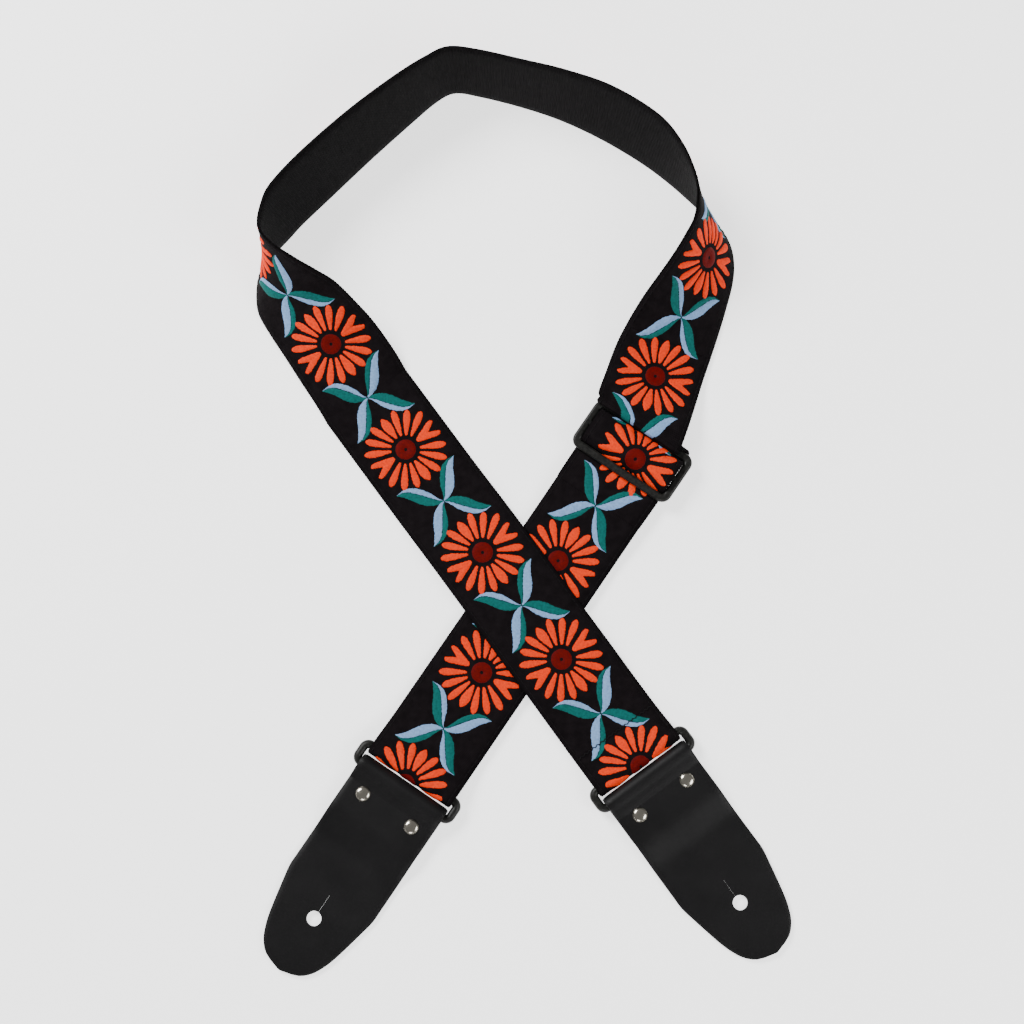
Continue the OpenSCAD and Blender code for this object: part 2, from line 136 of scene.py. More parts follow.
LOOP = [
    [-103.5, 52.5, 0, 40, 28.5, 6], [-112, 65.5, 0, 39.5, 27, 12],
    [-120, 78, 0, 38.5, 24, 21], [-128.5, 91, 0, 36.5, 20, 27.5],
    [-134, 101, 0, 32, 14.5, 35.5], [-135.5, 109.5, 0, 24, 10, 43],
    [-134.5, 121, 0, 12, 4.5, 48.3], [-129, 132, 0, -0.5, 2.5, 50],
    [-119, 143.5, 0, -9, 4, 49], [-112, 151.5, 0, -11.5, 6, 48.3],
    [-98, 165.5, 0, -10.5, 9, 48], [-77, 186.5, 0, -8, 9.5, 48.4],
    [-56, 206.5, 0, -5.6, 7.6, 49], [-42, 219, 0, -3.7, 5.4, 49.6],
    [-32, 224, 0, -2.5, 5.5, 49.5], [-18.5, 222, 0, -1, 6, 49.5],
    [2.5, 216.5, 0, 1.5, 6, 49.6], [24, 209, 0, 2.3, 8, 49.3],
    [45.5, 198.5, 0, 4.5, 10, 48.8], [66.5, 185.5, 0, 6.5, 8, 48.9],
    [82, 173.5, 0, 3, 4, 49.7], [96.5, 160, 0, -5, 0.5, 49.7],
    [107, 149.5, 0, -14.5, 0, 47.8], [113, 139.5, 0, -22, 0.5, 44.8],
    [115, 129, 0, -28.5, 3, 41], [114, 117.5, 0, -33, 6, 37],
    [110.5, 104, 0, -37, 9.5, 32], [106.5, 90.5, 0, -41.5, 12.5, 25],
    [102, 77, 0.15, -44.8, 14, 17],
]
UPPER = [
    LOOP[-1], [98, 65.5, 1, -46.5, 15.5, 11], [93, 50, 5, -47, 17, 7],
    [89.2, 38.7, 10, -46, 19.5, 2.5],
]


def station(s):
    """A frame of the loop from a station: the low edge's place, then the lean of the width."""
    w = unit(np.array(s[3:6]))
    lift = STRAP_T / 2 * math.sqrt(max(0.0, 1 - w[2] ** 2))
    mid = np.array([s[0], s[1], s[2] + lift]) + CENTRE + w * STRAP_W / 2
    return mid, w


def side_frames(arm, points):
    return [(arm.at(u, z), arm.wide) for u, z in points]


def window_frames(points):
    """The webbing in the slider: the fold lies askew, and comes back to the middle below it."""
    start, stop = len(fold_side), len(fold_side) + 30
    out = []
    for i, (u, z) in enumerate(points):
        t = min(max((i - start) / (stop - start), 0), 1)
        out.append((ARM_B.at(u, z) + ASKEW * (1 - t * t * (3 - 2 * t)) * ARM_B.wide, ARM_B.wide))
    return out


end_a = (
    curve([[TAIL_A, Z_UNDER], [TAIL_A - 5, Z_UNDER], [TAIL_A - 10, Z_UNDER + 0.1],
           [6, Z_RING - TURN_R - 0.15]], 4)
    + turn(Z_RING, TURN_R, 270, 90, 24)
    + curve([[5, Z_RING + TURN_R - 0.5], [10, Z_RING + 0.4], [15, Z_UNDER + STRAP_T + 1],
             [20, Z_UNDER + STRAP_T + 0.15], [TAIL_A, Z_UNDER + STRAP_T],
             [TAIL_A + 6, Z_UNDER + STRAP_T + 0.05]], 5)
)
arm_a_heights = [(TAIL_A + 6, Z_UNDER + STRAP_T + 0.05), (60, Z_CROSS), (134, Z_CROSS),
                 (180, STRAP_T / 2)]
arm_a = [(u, level(arm_a_heights, u)) for u in np.arange(TAIL_A + 9, 231, 3)]
last = ARM_A.at(234, 0) - CENTRE - ARM_A.wide * STRAP_W / 2
loop = [station(s) for s in curve([[*last, *(ARM_A.wide * STRAP_W)]] + LOOP, 10)]
fold_at = (ARM_B.at(FOLD_END + 0.6, Z_FOLD - STRAP_T / 2)
           + ARM_B.wide * (ASKEW - STRAP_W / 2) - CENTRE)
upper = [station(s) for s in curve(UPPER + [[*fold_at, *(ARM_B.wide * STRAP_W)]], 10)]
upper += [(ARM_B.at(FOLD_END, Z_FOLD) + ASKEW * ARM_B.wide, ARM_B.wide)]

P = BAR_PITCH
fold_side = [[P + 0.5, Z_FOLD]] + [
    [P + 0.1 + q[0], q[1]] for q in turn(Z_FOLD - FOLD_R, FOLD_R, 90, 270, 12)]
slider_side = [
    [P + 0.6, Z_FOLD_UNDER], [P + 1.5, Z_FOLD_UNDER - 0.15], [P + 2.9, Z_BAR + 1.9],
    [P + 3.5, Z_BAR + 0.1],
    [P + 2.9, Z_BAR - 1.7], [P + 1.6, Z_PRESS + 0.15], [P, Z_PRESS],
    [P - 1.6, Z_PRESS + 0.15], [P - 2.9, Z_BAR - 1.7], [P - 3.5, Z_BAR],
    [P - 3.7, Z_BAR + 2], [P - 4.8, Z_HUMP - 1.7], [4.6, Z_HUMP - 0.2],
    [0, Z_HUMP], [-4.4, Z_HUMP - 0.5], [-7.4, Z_HUMP - 2.6],
    [3.5 - P, Z_BAR + 0.2], [2.9 - P, Z_BAR - 1.7],
    [1.6 - P, Z_PRESS + 0.15], [-P, Z_PRESS], [-P - 4, Z_PRESS],
    [-24, Z_PRESS], [-TAIL_B - 2, Z_PRESS],
]
window = [[SLIDER_RUN + u, z] for u, z in fold_side + curve(slider_side, 6)]
run = [[RUN_START, Z_PRESS]] + curve([
    [RUN_START - 2, Z_PRESS], [RUN_START - 7, Z_PRESS - 0.2], [RUN_START - 14, Z_TOP + 0.7],
    [RUN_START - 24, Z_TOP], [RUN_START - 32, Z_TOP], [RUN_SPLIT, Z_TOP]], 6)
turn_b = (
    [[TURN_L, Z_TOP]]
    + curve([[24, Z_TOP], [18, Z_TOP + 0.8], [11, Z_RING + TURN_R - 2.6],
             [5.5, Z_RING + TURN_R - 0.6]], 5)
    + turn(Z_RING, TURN_R, 90, 270, 24)
    + curve([[6, Z_UNDER + 0.35], [12, Z_UNDER + 0.1], [18, Z_UNDER]], 4)
    + [[TURN_L, Z_UNDER]]
)
end_b = [[SLIDER_RUN + u, z] for u, z in (
    [[-TAIL_B - 1, Z_UNDER], [-18, Z_UNDER]]
    + curve([[-12, Z_UNDER], [-9, Z_UNDER + 0.25], [-6, Z_UNDER + 1.1],
             [-2.6, Z_BAR - LOOP_R - 1]], 5)
    + turn(Z_BAR, LOOP_R, 275, 540, 28)
    + curve([[-LOOP_R - 0.7, Z_BAR - 1.4], [-6, Z_TAIL_B + 1.8], [-9, Z_TAIL_B + 0.6],
             [-12, Z_TAIL_B]], 5)
    + [[-TAIL_B, Z_TAIL_B]]
)]


class Section:
    """A length of strap: arc length along its middle, and the place of any point on it."""

    def __init__(self, name, frames, begin):
        self.name = name
        self.mid = np.array([m for m, _ in frames])
        self.w = np.array([unit(w) for _, w in frames])
        step = np.linalg.norm(np.diff(self.mid, axis=0), axis=1)
        keep = np.concatenate([[True], step > 1e-4])
        self.mid, self.w = self.mid[keep], self.w[keep]
        step = np.linalg.norm(np.diff(self.mid, axis=0), axis=1)
        self.s = begin + np.concatenate([[0], np.cumsum(step)])
        ahead = np.gradient(self.mid, axis=0)
        self.up = np.cross(self.w, ahead)
        self.up /= np.linalg.norm(self.up, axis=1)[:, None]

    def place(self, s, v, h):
        """Metres in the shared frame, from arc length, distance across and height, in mm."""
        s, v, h = (np.atleast_1d(np.asarray(x, float)) for x in (s, v, h))
        def at(a):
            return np.stack([np.interp(s, self.s, a[:, k]) for k in range(3)], axis=-1)
        return (at(self.mid) + at(self.w) * v[..., None] + at(self.up) * h[..., None]) * MM


def nearest(sections, x, y):
    """Arc length of the strap's middle nearest to a place seen from above."""
    target = np.array([x, y]) + CENTRE[:2]
    best = None
    for q in sections:
        d = np.linalg.norm(q.mid[:, :2] - target, axis=1)
        i = int(np.argmin(d))
        if best is None or d[i] < best[0]:
            best = (d[i], q.s[i])
    return best[1]


sections = []
for name, frames in (
    ("shoulder", side_frames(ARM_A, end_a + arm_a) + loop),
    ("upper_run", upper),
    ("slider", window_frames(window)),
    ("run_slider_side", side_frames(ARM_B, run)),
    ("run_ring_side", side_frames(ARM_B, [[u, Z_TOP] for u in np.arange(RUN_SPLIT, TURN_L - 1, -2)])),
    ("ring_turn", side_frames(ARM_B, turn_b)),
    ("under_run", side_frames(ARM_B, [[u, Z_UNDER] for u in np.arange(TURN_L, UNDER_TO + 1, 2)])),
    ("end_loop", side_frames(ARM_B, end_b)),
):
    sections.append(Section(name, frames, sections[-1].s[-1] if sections else 0.0))
by_name = {q.name: q for q in sections}


class Course(Section):
    """The whole strap as one length, for what lies across the ends of sections."""

    def __init__(self, parts):
        self.name = "course"
        self.s = np.concatenate([q.s + np.linspace(0, 1e-6, len(q.s)) for q in parts])
        self.mid = np.concatenate([q.mid for q in parts])
        self.w = np.concatenate([q.w for q in parts])
        self.up = np.concatenate([q.up for q in parts])


course = Course(sections)

# ---- Materials ----


def material(name, colour, rough, metallic=0.0):
    """A Principled material, its nodes and its shader."""
    m = bpy.data.materials.new(name)
    m.use_nodes = True
    shader = m.node_tree.nodes["Principled BSDF"]
    shader.inputs["Base Color"].default_value = (*colour, 1)
    shader.inputs["Roughness"].default_value = rough
    shader.inputs["Metallic"].default_value = metallic
    return m, m.node_tree, shader


def add(tree, kind, **values):
    node = tree.nodes.new(kind)
    for key, value in values.items():
        if key in node.inputs:
            node.inputs[key].default_value = value
        else:
            setattr(node, key, value)
    return node


def noise(tree, scale, detail=3.0, coords="Object"):
    where = add(tree, "ShaderNodeTexCoord")
    n = add(tree, "ShaderNodeTexNoise", Scale=scale, Detail=detail)
    tree.links.new(where.outputs[coords], n.inputs["Vector"])
    return n


def tint(tree, shader, texture, low, high):
    """The base colour runs from low to high with the texture."""
    ramp = add(tree, "ShaderNodeValToRGB")
    ramp.color_ramp.elements[0].color = (*low, 1)
    ramp.color_ramp.elements[1].color = (*high, 1)
    ramp.color_ramp.elements[0].position = 0.3
    ramp.color_ramp.elements[1].position = 0.7
    tree.links.new(texture.outputs["Fac"], ramp.inputs["Fac"])
    tree.links.new(ramp.outputs["Color"], shader.inputs["Base Color"])


def bump(tree, shader, heights, distance, strength=1.0):
    node = add(tree, "ShaderNodeBump", Distance=distance, Strength=strength)
    tree.links.new(heights, node.inputs["Height"])
    tree.links.new(node.outputs["Normal"], shader.inputs["Normal"])


def thread(name, low, high, rough=0.7, sheen=0.0):
    m, tree, shader = material(name, high, rough)
    shader.inputs["Sheen Weight"].default_value = sheen
    shader.inputs["Sheen Roughness"].default_value = 0.4
    shader.inputs["Specular IOR Level"].default_value = 0.1
    tint(tree, shader, noise(tree, 900, 4), low, high)
    bump(tree, shader, noise(tree, 2600, 2).outputs["Fac"], 0.00012, 0.7)
    return m


def woven(name, low, high, along, across, depth, sheen):
    """Cloth woven along UV, which is metres along the strap and across it."""
    m, tree, shader = material(name, high, 0.88)
    shader.inputs["Sheen Weight"].default_value = sheen
    shader.inputs["Sheen Roughness"].default_value = 0.5
    shader.inputs["Specular IOR Level"].default_value = 0.06
    tint(tree, shader, noise(tree, 240, 5), low, high)
    where = add(tree, "ShaderNodeTexCoord")
    waves = []
    for pitch, way in ((along, "X"), (across, "Y")):
        wave = add(tree, "ShaderNodeTexWave", Scale=math.pi / (10 * pitch), Distortion=0.6,
                   Detail=1.0, bands_direction=way)
        tree.links.new(where.outputs["UV"], wave.inputs["Vector"])
        waves.append(wave)
    both = add(tree, "ShaderNodeMath", operation="MULTIPLY_ADD")
    both.inputs[1].default_value = 0.5
    tree.links.new(waves[1].outputs["Fac"], both.inputs[0])
    tree.links.new(waves[0].outputs["Fac"], both.inputs[2])
    bump(tree, shader, both.outputs[0], depth)
    return m


RIBBON = woven("ribbon_cloth", (0.004, 0.0028, 0.0034), (0.0075, 0.0056, 0.0065),
               0.0007, 0.0006, 0.0001, 0.0)
WEB = woven("webbing_cloth", (0.0032, 0.0028, 0.003), (0.006, 0.0053, 0.0056),
            0.0016, 0.0009, 0.00025, 0.0)
ORANGE = thread("orange_thread", (0.68, 0.026, 0.0), (0.92, 0.046, 0.0))
RED = thread("red_thread", (0.075, 0.0, 0.0), (0.125, 0.0005, 0.0))
TEAL = thread("teal_thread", (0.0, 0.075, 0.068), (0.0, 0.125, 0.112))
BLUE = thread("blue_thread", (0.15, 0.27, 0.48), (0.24, 0.39, 0.63))
BLACK_THREAD = thread("black_thread", (0.004, 0.0035, 0.004), (0.008, 0.007, 0.0075))


def leather_material():
    m, tree, shader = material("black_leather", (0.005, 0.0048, 0.005), 0.34)
    shader.inputs["Specular IOR Level"].default_value = 0.18
    tint(tree, shader, noise(tree, 60, 4), (0.0035, 0.0033, 0.0036), (0.006, 0.0056, 0.006))
    where = add(tree, "ShaderNodeTexCoord")
    cells = add(tree, "ShaderNodeTexVoronoi", Scale=1500.0, feature="DISTANCE_TO_EDGE")
    tree.links.new(where.outputs["Object"], cells.inputs["Vector"])
    rise = add(tree, "ShaderNodeMath", operation="MINIMUM")
    rise.inputs[1].default_value = 0.12
    tree.links.new(cells.outputs["Distance"], rise.inputs[0])
    mix = add(tree, "ShaderNodeMath", operation="MULTIPLY_ADD")
    mix.inputs[1].default_value = 2.0
    tree.links.new(rise.outputs[0], mix.inputs[0])
    tree.links.new(noise(tree, 320, 5).outputs["Fac"], mix.inputs[2])
    bump(tree, shader, mix.outputs[0], 0.00009, 0.8)
    rough = add(tree, "ShaderNodeMapRange")
    rough.inputs["To Min"].default_value = 0.42
    rough.inputs["To Max"].default_value = 0.55
    tree.links.new(noise(tree, 45, 3).outputs["Fac"], rough.inputs["Value"])
    tree.links.new(rough.outputs["Result"], shader.inputs["Roughness"])
    return m


def plastic_material():
    m, tree, shader = material("black_plastic", (0.012, 0.012, 0.011), 0.38)
    shader.inputs["Specular IOR Level"].default_value = 0.182
    tint(tree, shader, noise(tree, 700, 5), (0.007, 0.007, 0.0065), (0.018, 0.018, 0.0165))
    bump(tree, shader, noise(tree, 1800, 4).outputs["Fac"], 0.00006, 0.9)
    return m


def nickel_material():
    m, tree, shader = material("nickel", (0.62, 0.58, 0.5), 0.16, 1.0)
    bump(tree, shader, noise(tree, 500, 3).outputs["Fac"], 0.00003, 0.5)
    return m


LEATHER, PLASTIC, NICKEL = leather_material(), plastic_material(), nickel_material()

# ---- Building meshes ----


def mesh_object(name, points, faces, materials, uv=None, smooth=True, indices=None):
    mesh = bpy.data.meshes.new(name)
    mesh.from_pydata([tuple(p) for p in points], [], [tuple(f) for f in faces])
    for m in materials:
        mesh.materials.append(m)
    if uv is not None:
        layer = mesh.uv_layers.new(name="UVMap")
        corner = np.empty(len(mesh.loops), np.int32)
        mesh.loops.foreach_get("vertex_index", corner)
        layer.data.foreach_set("uv", np.asarray(uv, np.float32)[corner].ravel())
    if indices is not None:
        mesh.polygons.foreach_set("material_index", indices)
    mesh.polygons.foreach_set("use_smooth", [smooth] * len(mesh.polygons))
    mesh.update()
    o = bpy.data.objects.new(name, mesh)
    bpy.context.scene.collection.objects.link(o)
    return o


def grid_faces(rows, cols, base=0, closed=False):
    """Quads of a grid of points; closed joins the last column to the first."""
    faces = []
    for i in range(rows - 1):
        for j in range(cols if closed else cols - 1):
            a, b = base + i * cols + j, base + i * cols + (j + 1) % cols
            faces.append((a, b, b + cols, a + cols))
    return faces


def band(section, lo, hi, half, name, mat, step=0.55, scallop=0.12, fill=0.0):
    """A length of tape, closed all round, its edges bulging at each weft thread.
    Between its ends it may spread by fill on each side."""
    s = np.linspace(section.s[0], section.s[-1], max(3, int((section.s[-1] - section.s[0]) / step)))
    across = np.concatenate([np.linspace(-1, 1, 11), np.linspace(1, -1, 11)])
    height = np.concatenate([np.full(11, hi), np.full(11, lo)])
    edge = np.abs(across) == 1
    rib = 0.5 + 0.5 * np.sin(2 * math.pi * s / 1.7)
    swell = np.clip(np.sin(math.pi * np.linspace(0, 1, len(s))), 0, 1) ** 0.3
    v = across[None, :] * (half + fill * swell[:, None] + scallop * (rib[:, None] - 0.7) * edge)
    h = height[None, :] + np.zeros_like(v)
    # the selvedge is rounded: its corners come in towards the middle of the thickness
    h = np.where(edge[None, :], h + ((lo + hi) / 2 - h) * 0.45, h)
    ss = s[:, None] + np.zeros_like(v)
    points = section.place(ss.ravel(), v.ravel(), h.ravel())
    cols = len(across)
    faces = grid_faces(len(s), cols, closed=True)
    faces.append(tuple(range(cols - 1, -1, -1)))
    faces.append(tuple(len(points) - cols + k for k in range(cols)))
    uv = np.stack([ss.ravel() * MM, v.ravel() * MM], axis=1)
    return mesh_object(name, points, faces, [mat], uv)


def point_b(u, z=0.0):
    return tuple(ARM_B.at(u, z) * MM)


# Where each length goes: the body it rides, or the two bodies it runs between with a point on arm B for
# each; a length between two bodies is left unattached
FOLLOWS = {
    "shoulder": ("strap",),
    "upper_run": ("strap", "slider", point_b(FOLD_END + 46), point_b(FOLD_END + 0.3)),
    "slider": ("slider",),
    "run_slider_side": ("strap", "slider", point_b(RUN_SPLIT), point_b(RUN_START)),
    "run_ring_side": ("strap", "turn_b", point_b(RUN_SPLIT), point_b(TURN_L)),
    "ring_turn": ("turn_b",),
    "under_run": ("strap", "slider", point_b(2 * TURN_L - UNDER_TO), point_b(UNDER_TO)),
    "end_loop": ("slider",),
}


def follow(o, section):
    rule = FOLLOWS[section]
    if len(rule) == 1:
        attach(o, rule[0])
    else:
        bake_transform(o)


# how much wider the strap lies in the slider's window, on each side
WINDOW_FILL = 0.62
for q in sections:
    fill = WINDOW_FILL if q.name == "slider" else 0.0
    web = band(q, BACK, SEAM, STRAP_W / 2, "webbing_" + q.name, WEB, 0.55, 0.22, fill)
    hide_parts("web_" + q.name)
    follow(web, q.name)
    ribbon = band(q, SEAM, FRONT, STRAP_W / 2 - 0.4, "face_" + q.name, RIBBON, 0.55, 0.08, fill)
    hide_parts("ribbon_" + q.name)
    follow(ribbon, q.name)

# ---- Embroidery: raised satin stitch in four threads ----

THREADS = {"orange_thread": ORANGE, "red_thread": RED, "teal_thread": TEAL, "blue_thread": BLUE}
stitched = {}
# motifs sewn off the middle of the strap: place along it, and distance across
ASIDE = {}


def section_at(s):
    for q in sections:
        if q.s[0] <= s < q.s[-1]:
            return q
    return sections[-1]


def satin(colour, s0, outline, rows, pile=0.55, ragged=0.16, closed=False):
    """One patch of satin stitch. outline(t) gives its two sides, as [along, across] points
    from the motif's middle at s0, for t from 0 to 1; each thread crosses from side to side."""
    cols = 7
    t = np.linspace(0, 1, rows)
    left, right = outline(t)
    jag = np.array([random.uniform(-ragged, ragged) for _ in range(rows)])
    ahead = left - right
    width = np.linalg.norm(ahead, axis=1)
    side = ahead / np.maximum(width, 1e-6)[:, None]
    spare = np.minimum(1, width / 1.5)
    left = left + side * (jag * spare)[:, None]
    right = right - side * (np.roll(jag, 3) * spare)[:, None]
    c = np.linspace(0, 1, cols)
    crown = np.sqrt(np.clip(1 - (2 * c - 1) ** 2, 0, 1))
    ridge = 1 - 0.16 * (np.arange(rows) % 2)
    ends = 1.0 if closed else np.clip(np.minimum(t, 1 - t) * rows / 2.2, 0, 1) ** 0.5
    plump = pile * np.clip(width / 3.0, 0.3, 1) * ends * ridge
    xy = right[:, None, :] + c[None, :, None] * (left - right)[:, None, :]
    h = FRONT - 0.06 + plump[:, None] * crown[None, :]
    s = s0 + xy[..., 0]
    centre = float(np.mean(s))
    q = section_at(centre)
    points = course.place(s.ravel(), ASIDE.get(s0, 0.0) - xy[..., 1].ravel(), h.ravel())
    store = stitched.setdefault((q.name, colour), ([], []))
    store[1].extend(grid_faces(rows, cols, base=len(store[0])))
    store[0].extend(points)


def spoke(angle, r0, r1, profile):
    """Sides of a petal that points away from the middle at this angle."""
    a = math.radians(angle)
    ahead, side = np.array([math.cos(a), math.sin(a)]), np.array([-math.sin(a), math.cos(a)])
    knots_t, knots_w = zip(*profile)
    def outline(t):
        r = r0 + (r1 - r0) * t
        w = np.interp(t, knots_t, knots_w)
        mid = r[:, None] * ahead
        return mid + w[:, None] * side, mid - w[:, None] * side
    return outline


def heart(angle, lean):
    """One lobe of the double petal that points at the strap's edge."""
    a = math.radians(angle)
    ahead, side = np.array([math.cos(a), math.sin(a)]), np.array([-math.sin(a), math.cos(a)])
    def outline(t):
        r = 7.2 + (20.2 - 7.2) * t
        outer = np.interp(t, [0, 0.08, 0.4, 0.75, 0.92, 1], [0.6, 1.4, 2.9, 4.5, 4.6, 3.6])
        inner = np.interp(t, [0, 0.5, 0.62, 0.8, 1], [-0.5, -0.9, 0.1, 1.35, 2.9])
        mid = r[:, None] * ahead
        return mid + lean * outer[:, None] * side, mid + lean * inner[:, None] * side
    return outline


PETAL = [(0, 0.5), (0.06, 0.8), (0.3, 1.35), (0.62, 1.95), (0.82, 1.85), (0.93, 1.3), (1, 0.45)]
POINTED = [(0, 0.5), (0.06, 0.85), (0.35, 2.0), (0.6, 2.6), (0.8, 2.15), (0.95, 0.9), (1, 0.25)]


def flower(s0):
    for k in range(18):
        angle = 20 * k
        if angle in (80, 100, 260, 280):
            continue
        shape = POINTED if angle in (0, 180) else PETAL
        reach = 20.6 if angle in (0, 180) else 21.5 + 0.35 * math.sin(3 * k)
        satin("orange_thread", s0, spoke(angle + 2.5, 7.3, reach, shape), 40)
    for angle in (92.5, 272.5):
        for lean in (1, -1):
            satin("orange_thread", s0, heart(angle, lean), 38)
    # the disc: one round of stitches about a small open eye
    def outline(t):
        a = 2 * math.pi * t
        ring = np.stack([np.cos(a), np.sin(a)], axis=1)
        return ring * 0.7, ring * 5.45
    satin("red_thread", s0, outline, 90, 0.5, 0.08, closed=True)


# Half widths of a leaf: stations from 0 to 1 along it, and distances to the side
TEAL_EDGE = ([0, 0.08, 0.18, 0.3, 0.45, 0.62, 0.75, 0.88, 1],
             [0.3, 0.7, 1.9, 3.5, 4.7, 5.3, 5.0, 3.3, 0])
DIVIDE = ([0, 0.1, 0.2, 0.42, 0.6, 0.74, 0.88, 1], [0.25, 0.0, 0.4, 1.6, 2.4, 2.8, 2.1, 0])
BLUE_EDGE = ([0, 0.06, 0.12, 0.21, 0.35, 0.5, 0.72, 0.9, 1],
             [-0.8, -1.5, -2.4, -3.3, -3.6, -3.0, -1.1, -0.2, 0])
LEAF_L = 25.0


def leaf(s0, angle, flip):
    """A leaf split along its length, bulging to its left, or to its right with flip -1."""
    a = math.radians(angle)
    ahead, side = np.array([math.cos(a), math.sin(a)]), flip * np.array([-math.sin(a), math.cos(a)])
    def half(upper, lower):
        def outline(t):
            mid = (LEAF_L * t)[:, None] * ahead
            top, low = np.interp(t, *upper), np.interp(t, *lower)
            return mid + top[:, None] * side, mid + low[:, None] * side
        return outline
    outer, inner = ("teal_thread", "blue_thread") if flip > 0 else ("blue_thread", "teal_thread")
    satin(outer, s0, half(TEAL_EDGE, DIVIDE), 56, 0.45)
    satin(inner, s0, half(DIVIDE, BLUE_EDGE), 56, 0.45)


def leaf_cross(s0):
    leaf(s0, 47.5, -1)
    leaf(s0, -47.5, 1)
    leaf(s0, 132.5, 1)
    leaf(s0, -132.5, -1)


shoulder, upper_run = by_name["shoulder"], by_name["upper_run"]
window_s, top_b = by_name["slider"], by_name["ring_turn"]
bar_top_a = float(shoulder.s[int(np.argmax(shoulder.mid[:50, 2]))])
PITCH_A, PITCH_B = 67.95, 68.7
first = [bar_top_a - 3.4 + PITCH_A * k for k in range(6)]
right = [nearest([shoulder], 102.5, 126.2), nearest([shoulder, upper_run], 73.1, 66.8) + 1.2]
hidden = int(round((right[0] - first[-1]) / 68))
middle = [first[-1] + (right[0] - first[-1]) * k / hidden for k in range(1, hidden)]
bar_top_b = top_b.s[int(np.argmax(top_b.mid[:, 2]))]
window_flower = float(np.interp(-(SLIDER_RUN - 3.5), -np.array(
    [(m - ARM_B.bar) @ ARM_B.dir for m in window_s.mid]), window_s.s))
WINDOW_ASIDE = 3.9
ASIDE[window_flower] = WINDOW_ASIDE * float(np.sign(window_s.w[0][0]))
ring_side = [bar_top_b - 131.4, bar_top_b - 62, bar_top_b + 6.7]
under = [bar_top_b + 6.7 + PITCH_B * k for k in range(1, 4)]
flowers_a = first + middle + right
flowers_b = [window_flower] + ring_side + under
for s0 in flowers_a + flowers_b:
    if s0 < sections[-1].s[-1] - 16:
        flower(s0)
crosses = [(a + b) / 2 for a, b in zip(flowers_a, flowers_a[1:])] + [right[1] + 34.7]
crosses += [(a + b) / 2 for a, b in zip(flowers_b, flowers_b[1:])]
for s0 in crosses:
    if s0 < sections[-1].s[-1] - 16:
        leaf_cross(s0)

for (name, colour), (points, faces) in stitched.items():
    o = mesh_object(f"{colour}_{name}", points, faces, [THREADS[colour]])
    follow(o, name)

# ---- Sewn seams and edge stitching ----


def capsule_row(name, section, spots, length, thick, lift=0.0):
    """Short stitches lying on the strap: each a bowed strip of thread."""
    points, faces = [], []
    for s0, v0, turn_deg in spots:
        a = math.radians(turn_deg)
        base = len(points)
        n, m = 5, 5
        along = np.linspace(-length / 2, length / 2, n)
        round_ = np.linspace(-1, 1, m)
        bow = np.sqrt(np.clip(1 - (along / (length / 2)) ** 2, 0, 1))
        for i in range(n):
            for j in range(m):
                x = along[i] * math.cos(a) - round_[j] * thick / 2 * math.sin(a)
                y = along[i] * math.sin(a) + round_[j] * thick / 2 * math.cos(a)
                crown = math.sqrt(max(0, 1 - round_[j] ** 2) + 0.02)
                h = lift - 0.05 + bow[i] * thick * 0.7 * crown
                points.append(section.place(s0 + x, v0 + y, h)[0])
        faces.extend(grid_faces(n, m, base))
    o = mesh_object(name, points, faces, [BLACK_THREAD])
    follow(o, section.name)
    return o


STITCH_PITCH, STITCH_AT = 3.1, 22.9
SEAM_A_AT = 18.6
for q in sections:
    along = np.arange(q.s[0] + 1, q.s[-1] - 1, STITCH_PITCH)
    rows = [(s, side * STITCH_AT, 0) for s in along for side in (-1, 1)]
    capsule_row("edge_stitching_" + q.name, q, rows, 2.3, 0.42, lift=FRONT)
seam_a_s = bar_top_a + SEAM_A_AT
spots = [(seam_a_s, v, 60 if k % 2 else 120) for k, v in enumerate(np.arange(-23, 23.1, 1.25))]
seam = capsule_row("seam_end_a", shoulder, spots, 2.0, 0.5, lift=FRONT + 0.38)
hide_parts("seam_a")
end_loop = by_name["end_loop"]
spots = [(end_loop.s[-1] - 4, v, 40 if k % 2 else -40)
         for k, v in enumerate(np.arange(-22, 22.1, 1.6))]
seam = capsule_row("seam_end_b", end_loop, spots, 2.4, 0.3, lift=FRONT)
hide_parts("seam_b")

# ---- Leather tabs and rivets ----

TAB_W, TAB_L, HOLE_AT, HOLE_D, SLIT_L, SLIT_W = 50.8, 107.0, 76.8, 7.5, 10.0, 0.22
RIVET_AT, RIVET_PITCH, CAP_D = 12.5, 29.4, 7.6
Z_FLAP = 1.2 + HIDE_T / 2
Z_FACE = Z_FLAP + HIDE_T + 0.1
FLAP_L = 22.0
hide = (
    [[FLAP_L, Z_FLAP], [19, Z_FLAP], [16, Z_FLAP], [12, Z_FLAP]]
    + curve([[9, Z_FLAP], [5.5, Z_FLAP - 0.6], [3, Z_RING - HIDE_R + 0.1]], 4)
    + turn(Z_RING, HIDE_R, 270, 90, 20)
    + curve([[3, Z_RING + HIDE_R - 0.6], [5.8, Z_FACE + 1.3], [8.6, Z_FACE]], 6)
    + [[u, Z_FACE] for u in (10, 11.5, 13, 14.5, 16, 18, 20.5, FLAP_L + 1)]
    + [[u, level([(FLAP_L + 1, Z_FACE), (42, HIDE_T / 2)], u)] for u in np.arange(FLAP_L + 2.5, 42.1, 1.5)]
    + [[u, HIDE_T / 2] for u in np.arange(44, TAB_L + 0.1, 1.5)]
)
TIP = curve([
    [56, TAB_W / 2], [62, TAB_W / 2 - 0.1], [70, TAB_W / 2 - 1.6], [TAB_L - 21, TAB_W / 2 - 5.1],
    [TAB_L - 13, TAB_W / 2 - 7.7], [TAB_L - 7, TAB_W / 2 - 11], [TAB_L - 2.4, TAB_W / 2 - 16.4],
    [TAB_L, 0]], 12)


def half_width(u):
    return float(np.interp(u, [p[0] for p in TIP], [p[1] for p in TIP]))


